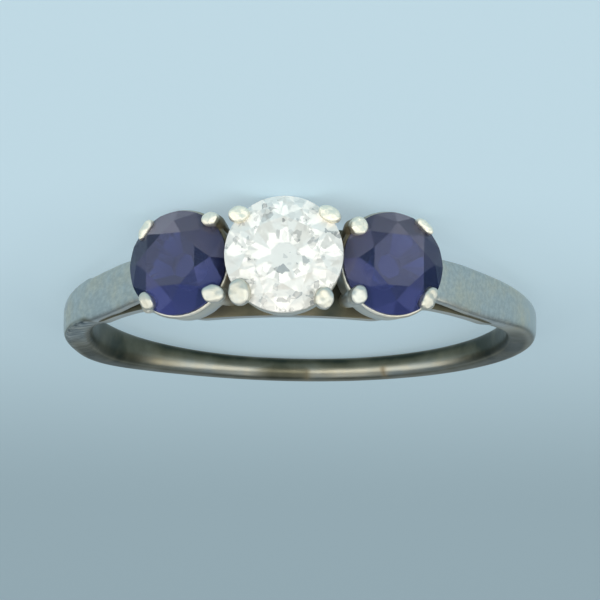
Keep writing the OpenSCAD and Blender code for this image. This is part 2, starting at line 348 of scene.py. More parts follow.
def make_shank():
    """The shank with both shoulder strips, from one side head round the back to the other. Film lies
    on the inner wall and the raised flank, and there it is partly a painted dark reflection of dark
    surroundings. At the back it is thinner toward the raised side, and the edge between wall and
    flank has less of it, so that the lamps' highlight shows there. A dull patch, a painted dark
    reflection laid as film, dims that highlight up to the first seam and fades after it, and a small
    one lies before the second. The seams are stained brown. The worn flat has scratches with dark
    streaks that are partly a painted dark reflection, and a dark rim, and the front's outer faces
    carry faint scratches."""
    obj = put("shank", *shell(shank_grid()))
    p = to_ring(vertex_places(obj.data))
    radius = np.hypot(p[:, 0], p[:, 1])
    turn = np.degrees(np.arctan2(p[:, 0], -p[:, 1])) % 360
    from_front = np.minimum(turn, 360 - turn)
    raised = p[:, 2] / raised_half(turn)
    inside = 1 - ramp(radius, *WALL_RADII)
    back = ramp(from_front + np.where(turn > 180, RIGHT_LEAD, 0), *BACK_TURNS)
    # Painted shade: film on the inner wall and the raised flank, partly a painted dark reflection
    flank = ramp(raised, *FLANK_HEIGHTS) * (1 - 0.4 * ramp(radius, *OUTER_RADII))
    film_and_shade = np.maximum(inside * ramp(from_front, *FILM_AND_SHADE_TURNS), flank * back)
    film_and_shade *= 1 - 0.25 * ramp(raised, *THIN_HEIGHTS) * ramp(from_front, *THIN_TURNS)
    edge = ramp(raised, *EDGE_HEIGHTS) * (1 - ramp(raised, *FLANK_HEIGHTS)) * ramp(from_front, *EDGE_TURNS)
    # Painted shade: a dull patch, a painted dark reflection laid as film, dims the edge's highlight
    past_seam = 0.3 * ramp(turn, SEAMS[0] - 1, SEAMS[0] + 2) + 0.52 * ramp(turn, *PATCH_FADE_TURNS)
    patch = ramp(turn, *PATCH_TURNS) * (0.82 - past_seam) + 0.4 * bump(turn, *PATCH_END)
    patch *= 1 - 0.7 * ramp(radius, *PATCH_RADII)
    seam = sum(bump(turn, place, SEAM_REACH) for place in SEAMS) * ramp(raised, *SEAM_HEIGHTS)
    rim = 0.6 * bump(past_flat(turn, radius), -0.4, 1.2) * ramp(raised, *RIM_HEIGHTS)
    paint(obj, "tarnish_and_shade", np.max([0.15 * inside, film_and_shade - 0.45 * edge, patch, rim], 0))
    paint(obj, "grime_and_shade", np.maximum(0.8 * seam, 0.2 * inside * bump(from_front, *SIDE_STAIN)))
    paint(obj, "rubbed_and_lit", 0.06 * (1 - back))
    # Painted shade: the worn flat's dark streaks are partly a painted dark reflection
    flat = worn_flat(turn, radius) * ramp(raised, *SCRATCH_HEIGHTS)
    paint(obj, "scratched_and_shaded", np.maximum(flat, 0.22 * (1 - back) * (1 - inside)))
    return obj


# The gallery


# Angles where it starts to narrow, where its neck starts, where its ends start to taper and where
# they stop, the taper and the rounding of its edges
GALLERY_NARROW_FROM = SIDE_ANGLE - 1
GALLERY_NECK_FROM = SIDE_ANGLE + 18
GALLERY_TAPER_FROM = SIDE_ANGLE + 37
GALLERY_END = SIDE_ANGLE + 47
GALLERY_END_TAPER = 0.2
GALLERY_EDGE = 0.05
GALLERY_STATIONS = 220
CORNER_POINTS = 9

# Claws' feet on it: their middles stand CLAW_FOOT_D inside a share, CLAW_LEAN, of the stone's
# radius. The edge of the hole lies HOLE_MARGIN inside those middles, and the tool that cuts it
# reaches CUTTER_PAST beyond the band.
CLAW_LEAN = 0.86
CLAW_FOOT_D = 0.66
HOLE_MARGIN = 0.24
HOLE_SIDES = 96
CUTTER_PAST = 1

# Its film and grime, with painted shade laid in them: the top face, the recess behind a side
# head, and the reach of the gap between two heads in degrees
TOP_RADII = (GALLERY_TOP - GALLERY_EDGE, GALLERY_TOP - 0.01)
RECESS_TURNS = (SIDE_ANGLE + 4, SIDE_ANGLE + 14)
GAP_REACH = 5


def gallery_half(angle):
    """Half the gallery's width: full under the heads, then eased down to the neck and the end taper."""
    neck = ramp(angle, GALLERY_NARROW_FROM, GALLERY_NECK_FROM)
    taper = ramp(angle, GALLERY_TAPER_FROM, GALLERY_END)
    return GALLERY_W / 2 - (GALLERY_W - GALLERY_NECK_W) / 2 * neck - GALLERY_END_TAPER * taper


def gallery_grid():
    """Rounded rectangles carried round the finger, as thick as the band and as wide as gallery_half says."""
    angle = np.linspace(-GALLERY_END, GALLERY_END, GALLERY_STATIONS)
    round_corner = np.linspace(0, np.pi / 2, CORNER_POINTS)
    corner = np.repeat(np.arange(4), CORNER_POINTS) * np.pi / 2 + np.tile(round_corner, 4)
    half = gallery_half(np.abs(angle))[:, None]
    radial = np.sign(np.cos(corner)) * (GALLERY_T / 2 - GALLERY_EDGE) + GALLERY_EDGE * np.cos(corner)
    radius = BORE_R + GALLERY_T / 2 + radial[None]
    along = np.sign(np.sin(corner))[None] * (half - GALLERY_EDGE) + GALLERY_EDGE * np.sin(corner)[None]
    a = np.radians(angle)[:, None]
    return np.stack([radius * np.sin(a) + 0 * along, -radius * np.cos(a) + 0 * along, along], -1)


def on_head(points, angle):
    """Local points of a head to the ring's frame. Local X is toward the left of the head, Y is along
    the finger and Z points out from the finger."""
    x, y, z = points[..., 0], points[..., 1], points[..., 2]
    return np.stack([x * np.cos(angle) + z * np.sin(angle), x * np.sin(angle) - z * np.cos(angle), y], -1)


def round_hole(obj, radius, angle):
    """Cuts a round hole on a head's axis through the gallery."""
    turn = np.linspace(0, 2 * np.pi, HOLE_SIDES, endpoint=False)[None]
    height = np.array([BORE_R - CUTTER_PAST, GALLERY_TOP + CUTTER_PAST])[:, None]
    circle = [radius * np.cos(turn) + 0 * height, radius * np.sin(turn) + 0 * height, height + 0 * turn]
    cutter = put("cutter", *shell(on_head(np.stack(circle, -1), angle)))
    cut = obj.modifiers.new("hole", "BOOLEAN")
    cut.operation = "DIFFERENCE"
    cut.solver = "EXACT"
    cut.object = cutter
    apply_modifiers(obj)
    bpy.data.objects.remove(cutter)


def make_gallery():
    """The band under the heads, with a round hole under each stone. Brown grime and film cover its
    top, and painted shade makes it darkest between the heads and behind the side heads. Film, partly
    a painted dark reflection, lies on its inner wall from where the shank's begins."""
    obj = put("gallery", *shell(gallery_grid()))
    for diameter, angle in ((CENTRE_D, 0), (LEFT_D, LEFT_ANGLE), (RIGHT_D, -RIGHT_ANGLE)):
        round_hole(obj, diameter / 2 * CLAW_LEAN - CLAW_FOOT_D - HOLE_MARGIN, angle)
    p = to_ring(vertex_places(obj.data))
    radius = np.hypot(p[:, 0], p[:, 1])
    turn = np.degrees(np.arctan2(np.abs(p[:, 0]), -p[:, 1]))
    # Painted shade: the top is darker between the heads and in the recess behind a side head
    between = bump(turn, SIDE_ANGLE / 2, GAP_REACH)
    on_top = ramp(radius, *TOP_RADII)
    inside = (1 - on_top) * ramp(turn, *FILM_AND_SHADE_TURNS)
    paint(obj, "tarnish_and_shade", on_top * (0.68 + 0.25 * between + 0.2 * ramp(turn, *RECESS_TURNS)) + inside)
    paint(obj, "grime_and_shade", 0.55 * on_top)
    return obj


# The heads


# The cup under a stone: thickness, height, how far its outer wall leans in on the middle head and
# on a side head, its rim's round bead, and how far the seat's lip lies inside the stone's edge
CUP_T = 0.42
CUP_H = 1.2
CUP_TAPER = 0.14
SIDE_TAPER = 0.05
BEAD_R = 0.15
BEAD_POINTS = 5
LIP = 0.08
CUP_STEPS = 8
CUP_SIDES = 160

# A claw's post: how deep its foot sinks into the gallery, and the elbow beside the stone's edge,
# which follows a tip that lies inside that edge part of the way. The elbow's radius is a little
# more than half the pad's width, and ELBOW_R at most.
FOOT_SINK = 0.08
ELBOW_OUT = 0.08
ELBOW_FOLLOW = 0.4
ELBOW_R = 0.27
ELBOW_SHARE = 1.05
POST_STEPS = 12
CAP_STEPS = 7
POST_SIDES = 28

# The stout body of a claw: how far its top stands out from the stone's edge and below it, its
# radii, and how far inside the stone's edge its foot stands
BODY_OUT = 0.04
BODY_DROP = 0.16
BODY_R = 0.36
BODY_FOOT_R = 0.32
BODY_FOOT_IN = 0.5

# A claw's pad: how square it is along, across and through, and its grid
PAD_POWERS = (0.96, 0.96, 0.26)
PAD_POLE = 0.04
PAD_ROWS = 24
PAD_SIDES = 36

# The fused skin of a head: its grain in millimetres and rounds of smoothing
SKIN_GRAIN = 0.036
SKIN_ROUNDS = 4

# Claws of a head, a row for each. Columns: side (1 is left), finger's side (1 is the raised one),
# angle from the head's X in degrees, how far the tip's middle stands out past the stone's edge,
# its height over the stone's lower edge, half the length, half the width and half the thickness
# of its oval, the oval's direction from the head's X in degrees, and how far it leans out in degrees
CENTRE_CLAWS = [
    [1, -1, 40.4, -0.02, 0.42, 0.42, 0.33, 0.25, 6, -4],
    [-1, -1, 40.4, 0.02, 0.42, 0.47, 0.31, 0.25, -26, -4],
    [1, 1, 44.0, 0.00, 0.42, 0.54, 0.44, 0.26, 92, 20],
    [-1, 1, 48.8, 0.12, 0.42, 0.45, 0.38, 0.26, 84, 20],
]
LEFT_CLAWS = [
    [1, -1, 46.8, -0.20, 0.38, 0.47, 0.19, 0.20, 58, 0],
    [-1, -1, 45.1, 0.10, 0.40, 0.37, 0.27, 0.24, 8, -4],
    [1, 1, 52.3, -0.22, 0.40, 0.40, 0.31, 0.22, 124, 22],
    [-1, 1, 40.2, 0.17, 0.40, 0.48, 0.37, 0.26, -10, 18],
]
RIGHT_CLAWS = [
    [1, -1, 39.3, -0.02, 0.40, 0.38, 0.37, 0.24, 0, -4],
    [-1, -1, 52.6, -0.12, 0.38, 0.43, 0.19, 0.20, -40, 0],
    [1, 1, 44.0, 0.04, 0.40, 0.40, 0.34, 0.25, 84, 18],
    [-1, 1, 43.9, -0.16, 0.40, 0.50, 0.32, 0.24, 64, 24],
]

# Heads, a row for each. Columns: name, claws, stone's diameter, height, angle from the middle
# head, how far the cup's rim stands out and how far its wall leans in
HEADS = (
    ("centre_head", CENTRE_CLAWS, CENTRE_D, CENTRE_H, 0.0, CENTRE_RIM, CUP_TAPER),
    ("left_head", LEFT_CLAWS, LEFT_D, SIDE_H, LEFT_ANGLE, SIDE_RIM, SIDE_TAPER),
    ("right_head", RIGHT_CLAWS, RIGHT_D, SIDE_H, -RIGHT_ANGLE, SIDE_RIM, SIDE_TAPER),
)

# Where wear, grime and painted light and shade begin and end on a head, in millimetres: heights
# over the stone's lower edge, distances out past the stone's edge, along the finger, and toward the left
WALL_HEIGHTS = (-1.3, -0.6)
SHADE_AND_GRIME_HEIGHTS = (-0.22, -0.08)
NECK_HEIGHTS = (-0.02, 0.12)
DENT_HEIGHTS = (0.1, 0.3)
TIP_HEIGHTS = (0.12, 0.3)
OUTSIDE = (0.02, 0.14)
ALONG_FINGER = (-0.4, 0.4)
TOWARD_LEFT = (-0.5, 0.5)


def pad(middle, axes, sizes):
    """A rounded pad: x, y and z follow a sphere's angles, each scaled along its own axis, with the
    sphere's sines and cosines raised to powers under 1 so that the faces are flatter."""
    down = np.linspace(PAD_POLE, np.pi - PAD_POLE, PAD_ROWS)[:, None]
    turn = np.linspace(0, 2 * np.pi, PAD_SIDES, endpoint=False)[None]
    ball = [np.sin(down) * np.cos(turn), np.sin(down) * np.sin(turn), np.cos(down) + 0 * turn]
    local = [np.sign(f) * np.abs(f) ** power * size for f, power, size in zip(ball, PAD_POWERS, sizes)]
    return shell(middle + sum(f[..., None] * axis for f, axis in zip(local, axes)))


def post(low, high, low_r, high_r):
    """A straight tapered post with round ends: circles carried along the line from low to high."""
    length = np.linalg.norm(high - low)
    along = (high - low) / length
    side = np.cross(along, [0.0, 1.0, 0.0])
    side /= np.linalg.norm(side)
    other = np.cross(along, side)
    step = np.linspace(0, 1, POST_STEPS)
    swell = np.sqrt(1 - (1 - step[:CAP_STEPS]) ** 2)[1:]
    past = 1 - step[1:CAP_STEPS]
    radius = np.concatenate([swell * low_r, low_r + (high_r - low_r) * step, swell[::-1] * high_r])
    place = np.concatenate([-past * low_r, step * length, length + past[::-1] * high_r])
    turn = np.linspace(0, 2 * np.pi, POST_SIDES, endpoint=False)[None, :, None]
    ring = np.cos(turn) * side + np.sin(turn) * other
    return shell(low + place[:, None, None] * along + radius[:, None, None] * ring)


def outward(row):
    """Unit vector from a head's axis to a claw, square to that axis, from the claw's sides and angle."""
    side, raised, angle = row[:3]
    turn = np.arctan2(raised * np.sin(np.radians(angle)), side * np.cos(np.radians(angle)))
    return np.array([np.cos(turn), np.sin(turn), 0])


def claw_body(row, stone_r, head_h):
    """The stout body under a claw of a side head that is next to the middle one: a second, thicker
    post, from the gallery to a little under the stone's edge."""
    foot = outward(row) * (stone_r - BODY_FOOT_IN) + UP * (GALLERY_TOP - head_h)
    top = outward(row) * (stone_r + BODY_OUT) - UP * BODY_DROP
    return post(foot, top, BODY_FOOT_R, BODY_R)


def claw(row, stone_r, head_h):
    """Post beside the stone, leaning out, and a round pad bent over the stone's edge."""
    out, height, half_l, half_w, half_t, oval, lean = row[3:]
    away = outward(row)
    lean = np.radians(lean)
    facing = np.cos(lean) * UP + np.sin(lean) * away
    long_way = np.array([np.cos(np.radians(oval)), np.sin(np.radians(oval)), 0])
    long_way -= (long_way @ facing) * facing
    long_way /= np.linalg.norm(long_way)
    foot = away * (stone_r * CLAW_LEAN - CLAW_FOOT_D) + UP * (GALLERY_TOP - FOOT_SINK - head_h)
    elbow = away * (stone_r + ELBOW_OUT + min(out, 0) * ELBOW_FOLLOW) + UP * stone_r * GIRDLE_SHARE
    tip = away * (stone_r + out) + UP * height
    return [
        post(foot, elbow, CLAW_FOOT_D / 2, min(half_w * ELBOW_SHARE, ELBOW_R)),
        pad(tip, (long_way, np.cross(facing, long_way), facing), (half_l, half_w, half_t)),
    ]


def cup(stone_r, rim, taper):
    """The cup under the stone's edge: its section, from the outer foot over the rim's round bead and
    down the seat to the inner foot, turned round the head's axis."""
    seat_r = stone_r - CUP_TAPER - CUP_T
    seat_z = -(stone_r - seat_r) * np.tan(PAVILION_ANGLE) - STONE_GAP
    bend = np.radians(np.linspace(-50, 90, BEAD_POINTS))
    bead_r = stone_r + rim - BEAD_R + BEAD_R * np.cos(bend)
    bead_z = -STONE_GAP - BEAD_R + BEAD_R * np.sin(bend)
    corners = np.vstack([
        [[stone_r - taper, -CUP_H]],
        np.stack([bead_r, bead_z], -1),
        [[stone_r - LIP, -STONE_GAP - LIP], [seat_r, seat_z], [seat_r, -CUP_H]],
    ])
    ends = np.vstack([corners, corners[:1]])
    steps = np.linspace(0, 1, CUP_STEPS, endpoint=False)[:, None]
    section = np.vstack([a + (b - a) * steps for a, b in zip(ends[:-1], ends[1:])])
    turn = np.linspace(0, 2 * np.pi, CUP_SIDES, endpoint=False)[:, None]
    r, z = section[None, :, 0], section[None, :, 1]
    return shell(np.stack([r * np.cos(turn), r * np.sin(turn), z + 0 * turn], -1), closed=True)


def paint_head(obj, p, height, outside):
    """Grime and painted shade fill the gap between two heads up to a line under the stones, which is
    higher outside the cup and on the lower side, and film lies on it there. The rest is worn paler
    with height, and the tips most on the lower side; that paleness is partly wear and partly painted
    light on the cup walls and the lower side's tips."""
    low_side = 1 - ramp(p[:, 2], *ALONG_FINGER)
    left = ramp(p[:, 0], *TOWARD_LEFT)
    turn = np.degrees(np.arctan2(np.abs(p[:, 0]), -p[:, 1]))
    below = height - 0.22 * outside - 0.3 * low_side
    # Painted shade, partly grime: the gap between two heads is darker
    between = bump(turn, SIDE_ANGLE / 2, 1.6 + 4.4 * low_side) * (1 - ramp(below, *SHADE_AND_GRIME_HEIGHTS))
    paint(obj, "tarnish_and_shade", (0.3 + 0.4 * left) * between * low_side)
    paint(obj, "grime_and_shade", 0.8 * between * (0.25 + 0.75 * np.maximum(left, low_side)))
    # Painted light, partly wear: the cup walls higher up and the tips on the lower side are made paler
    tip = ramp(height, *TIP_HEIGHTS)
    rubbed_and_lit = 0.35 * ramp(height, *WALL_HEIGHTS) + 0.45 * ramp(height, *NECK_HEIGHTS)
    rubbed_and_lit = rubbed_and_lit * (1 - tip) + tip * (0.25 + 0.75 * low_side)
    paint(obj, "rubbed_and_lit", (1 - between) * rubbed_and_lit)


def make_head(name, claws, diameter, head_h, angle, rim, taper):
    """One head: the cup and its four claws, fused into one skin and dented, most on the tips."""
    stone_r = diameter / 2
    shells = [cup(stone_r, rim, taper)]
    for row in claws:
        shells += claw(row, stone_r, head_h)
        if row[0] * angle < 0:
            shells.append(claw_body(row, stone_r, head_h))
    points, faces = joined(shells)
    obj = put(name, on_head(points + UP * head_h, angle), faces)
    fuse(obj, SKIN_GRAIN, SKIN_ROUNDS)
    p = to_ring(vertex_places(obj.data))
    height = p[:, 0] * np.sin(angle) - p[:, 1] * np.cos(angle) - head_h
    across = np.hypot(p[:, 0] * np.cos(angle) + p[:, 1] * np.sin(angle), p[:, 2])
    dent(obj, 0.3 + 0.7 * ramp(height, *DENT_HEIGHTS))
    paint_head(obj, p, height, ramp(across, stone_r + OUTSIDE[0], stone_r + OUTSIDE[1]))
    return obj


# Materials


# Patterns, as repeats to a millimetre of the ring, with their real sizes. On the metal: film
# gathers in blotches 1.4 mm across, the alloy's colour mottles over 1.5 mm, the polish is worn in
# patches of 1.1 mm, and a punch leaves marks 0.24 mm apart.
BLOTCHES = 0.7 / MM
MOTTLES = 0.65 / MM
WORN_PATCHES = 0.9 / MM
PUNCH_MARKS = 4.2 / MM

# Real hairlines and scratches are 0.01 mm wide and less, too fine to show. They are drawn
# coarser: hairlines 0.04 mm wide and nine times as long, scratches 0.18 mm wide and twelve
# times as long, slanting across the flat.
HAIRLINES = 2.6 / MM
HAIRLINE_STRETCH = 9
SCRATCHES = 5.6 / MM
SCRATCH_STRETCH = 12
SCRATCH_SLANT = 0.56

# On the stones: the diamond's haze changes over 0.3 mm and the sapphires' wear over 0.7 mm, and
# their colour zones are 1.7 mm wide. Facet tints have no size, as they go by the way a facet faces.
CHIPS = 3.6 / MM
RUBS = 1.5 / MM
COLOUR_ZONES = 0.6 / MM
FACET_TINTS = 5.0


def linear(hex_colour):
    """sRGB hex to linear red, green, blue and 1."""
    srgb = np.array([int(hex_colour[i:i + 2], 16) for i in (1, 3, 5)]) / 255
    rgb = np.where(srgb <= 0.04045, srgb / 12.92, ((srgb + 0.055) / 1.055) ** 2.4)
    return (*rgb.tolist(), 1.0)


def add(material, kind, settings=None, links=None):
    """Adds a shader node with its settings and links. A setting's name is a property of the node or
    one of its inputs, and a link gives another node's output for an input."""
    tree = material.node_tree
    node = tree.nodes.new(kind)
    for key, value in (settings or {}).items():
        if isinstance(key, str) and hasattr(node, key):
            setattr(node, key, value)
        else:
            node.inputs[key].default_value = value
    for key, output in (links or {}).items():
        tree.links.new(output, node.inputs[key])
    return node


def new_material(name):
    """An empty material with its output node."""
    material = bpy.data.materials.new(name)
    material.use_nodes = True
    material.node_tree.nodes.clear()
    return material, add(material, "ShaderNodeOutputMaterial")


def worn_white_gold():
    """14 ct white gold, polished and then worn. Years of wear leave it soft and grey with fine
    hairline scratches, rub the claws' tips to a pale satin, and leave an olive brown film of skin
    oils where no cloth reaches. Brown grime is dull and hides the metal, and a scored flat shows
    dark blue grey streaks. The film and the grime also carry painted shade and dark reflections, the
    pale satin painted light, and the streaks a painted dark reflection."""
    material, output = new_material("worn_white_gold")
    place = add(material, "ShaderNodeTexCoord").outputs["Object"]
    film_and_shade, rubbed_and_lit, grime_and_shade, scratched_and_shaded = (
        add(material, "ShaderNodeAttribute", {"attribute_name": name}).outputs["Fac"]
        for name in ("tarnish_and_shade", "rubbed_and_lit", "grime_and_shade", "scratched_and_shaded")
    )

    # How much film and painted shade lies there, in blotches
    blotches = add(material, "ShaderNodeTexNoise", {"Scale": BLOTCHES, "Detail": 4, "Roughness": 0.5},
                   {"Vector": place})
    patchy = add(material, "ShaderNodeMapRange",
                 {"From Min": 0.3, "From Max": 0.7, "To Min": 0.85, "To Max": 1.1},
                 {"Value": blotches.outputs["Fac"]})
    amount = add(material, "ShaderNodeMath", {"operation": "MULTIPLY", "use_clamp": True},
                 {0: film_and_shade, 1: patchy.outputs["Result"]})

    # Colour of the metal: paler where rubbed and where light is painted, brown under grime and painted shade
    mottle = add(material, "ShaderNodeTexNoise", {"Scale": MOTTLES, "Detail": 5, "Roughness": 0.6},
                 {"Vector": place})
    warmth = add(material, "ShaderNodeMapRange", {"From Min": 0.42, "From Max": 0.68},
                 {"Value": mottle.outputs["Fac"]})
    polished = add(material, "ShaderNodeMix",
                   {"data_type": "RGBA", 6: linear("#c0c6c5"), 7: linear("#d2ccba")},
                   {0: warmth.outputs["Result"]})
    clean = add(material, "ShaderNodeMix", {"data_type": "RGBA", 7: linear("#fffaea")},
                {0: rubbed_and_lit, 6: polished.outputs[2]})
    grimed_and_shaded = add(material, "ShaderNodeMix", {"data_type": "RGBA", 7: linear("#7c6440")},
                {0: grime_and_shade, 6: clean.outputs[2]})

    # Dark streaks in the places with scratches, partly a painted dark reflection
    drawn = add(material, "ShaderNodeMapping", {
        "vector_type": "TEXTURE",
        "Scale": (SCRATCH_STRETCH, 1, 1), "Rotation": (0, 0, SCRATCH_SLANT),
    }, {"Vector": place})
    scratches = add(material, "ShaderNodeTexNoise", {"Scale": SCRATCHES, "Detail": 3, "Roughness": 0.65},
                    {"Vector": drawn.outputs[0]})
    streak = add(material, "ShaderNodeMapRange", {"From Min": 0.38, "From Max": 0.6, "To Max": 0.9},
                 {"Value": scratches.outputs["Fac"]})
    streaked = add(material, "ShaderNodeMath", {"operation": "MULTIPLY"},
                   {0: streak.outputs["Result"], 1: scratched_and_shaded})
    scored_and_shaded_colour = add(material, "ShaderNodeMix", {"data_type": "RGBA", 7: linear("#4c6068")},
                        {0: streaked.outputs[0], 6: grimed_and_shaded.outputs[2]})

    # Film and painted shade over all of that: olive where it is thin, nearly black green where it is deep
    thin = add(material, "ShaderNodeMix", {"data_type": "RGBA", 7: linear("#83795a")},
               {0: amount.outputs[0], 6: scored_and_shaded_colour.outputs[2]})
    deep = add(material, "ShaderNodeMath", {"operation": "POWER", 1: 2.5}, {0: amount.outputs[0]})
    colour = add(material, "ShaderNodeMix", {"data_type": "RGBA", 7: linear("#3b4138")},
                 {0: deep.outputs[0], 6: thin.outputs[2]})

    # Gloss, worn unevenly and duller on rubbed metal
    worn = add(material, "ShaderNodeTexNoise", {"Scale": WORN_PATCHES, "Detail": 6, "Roughness": 0.65},
               {"Vector": place})
    rough = add(material, "ShaderNodeMapRange",
                {"From Min": 0.3, "From Max": 0.7, "To Min": 0.3, "To Max": 0.42},
                {"Value": worn.outputs["Fac"]})
    satin = add(material, "ShaderNodeMath", {"operation": "MULTIPLY_ADD", 1: 0.16},
                {0: rubbed_and_lit, 2: rough.outputs["Result"]})

    # Relief: hairlines everywhere, scratches where it is scratched and punch marks where it is rubbed
    hair = add(material, "ShaderNodeMapping", {"Scale": (1, 1, HAIRLINE_STRETCH)}, {"Vector": place})
    hairlines = add(material, "ShaderNodeTexNoise", {"Scale": HAIRLINES, "Detail": 8, "Roughness": 0.7},
                    {"Vector": hair.outputs[0]})
    bumps = add(material, "ShaderNodeBump", {"Strength": 0.12, "Distance": 0.04 * MM},
                {"Height": hairlines.outputs["Fac"]})
    gouged = add(material, "ShaderNodeMath", {"operation": "MULTIPLY"},
                 {0: scratches.outputs["Fac"], 1: scratched_and_shaded})
    scored = add(material, "ShaderNodeBump", {"Strength": 1.0, "Distance": 0.05 * MM},
                 {"Height": gouged.outputs[0], "Normal": bumps.outputs[0]})
    dents = add(material, "ShaderNodeTexNoise", {"Scale": PUNCH_MARKS, "Detail": 2, "Roughness": 0.4},
                {"Vector": place})
    dented = add(material, "ShaderNodeMath", {"operation": "MULTIPLY"}, {0: dents.outputs["Fac"], 1: rubbed_and_lit})
    filed = add(material, "ShaderNodeBump", {"Strength": 1.0, "Distance": 0.08 * MM},
                {"Height": dented.outputs[0], "Normal": scored.outputs[0]})

    # Grime and painted shade take away most of the metal's own reflection
    bare = add(material, "ShaderNodeMath", {"operation": "MULTIPLY_ADD", 1: -0.85, 2: 1.0}, {0: grime_and_shade})
    metal = add(material, "ShaderNodeBsdfPrincipled", None, {
        "Base Color": colour.outputs[2], "Metallic": bare.outputs[0],
        "Roughness": satin.outputs[0], "Normal": filed.outputs[0],
    })
    material.node_tree.links.new(metal.outputs[0], output.inputs["Surface"])
    return material


def cut_stone(material, output, glass, haze_colour, haze_share):
    """Lays a thin haze of fine wear on the outside of a stone's facets, which where it is strong is also
    painted reflection: a scatter in the haze's colour, mixed into the glass on its outer faces only."""
    haze = add(material, "ShaderNodeBsdfDiffuse", None, {"Color": haze_colour})
    inner = add(material, "ShaderNodeNewGeometry").outputs["Backfacing"]
    share = add(material, "ShaderNodeMapRange", {"To Min": haze_share, "To Max": 0.0}, {"Value": inner})
    mix = add(material, "ShaderNodeMixShader", None,
              {0: share.outputs["Result"], 1: glass.outputs[0], 2: haze.outputs[0]})
    material.node_tree.links.new(mix.outputs[0], output.inputs["Surface"])


def cut_diamond():
    """Diamond, sawn, bruted and polished: clear, with the high index that gives its white sparkle.
    Its haze is warm white, partly wear and partly painted reflection that whitens the stone, and grey
    in about one chip out of five as painted dark reflections."""
    material, output = new_material("cut_diamond")
    glass = add(material, "ShaderNodeBsdfPrincipled", {
        "Base Color": linear("#fdfdfc"), "Roughness": 0.0, "IOR": 2.417, "Transmission Weight": 1.0,
    })
    place = add(material, "ShaderNodeTexCoord").outputs["Object"]
    # Painted reflections: grey chips among the white haze stand for dark reflections
    chips = add(material, "ShaderNodeTexVoronoi", {"distance": "MANHATTAN", "Scale": CHIPS},
                {"Vector": place})
    chance = add(material, "ShaderNodeSeparateColor", None, {"Color": chips.outputs["Color"]})
    grey = add(material, "ShaderNodeMapRange", {"From Min": 0.78, "From Max": 1.0},
               {"Value": chance.outputs["Red"]})
    haze_and_reflections = add(material, "ShaderNodeMix",
               {"data_type": "RGBA", 6: linear("#fffaf2"), 7: linear("#a6a6a4")},
               {0: grey.outputs["Result"]})
    cut_stone(material, output, glass, haze_and_reflections.outputs[2], 0.74)
    return material


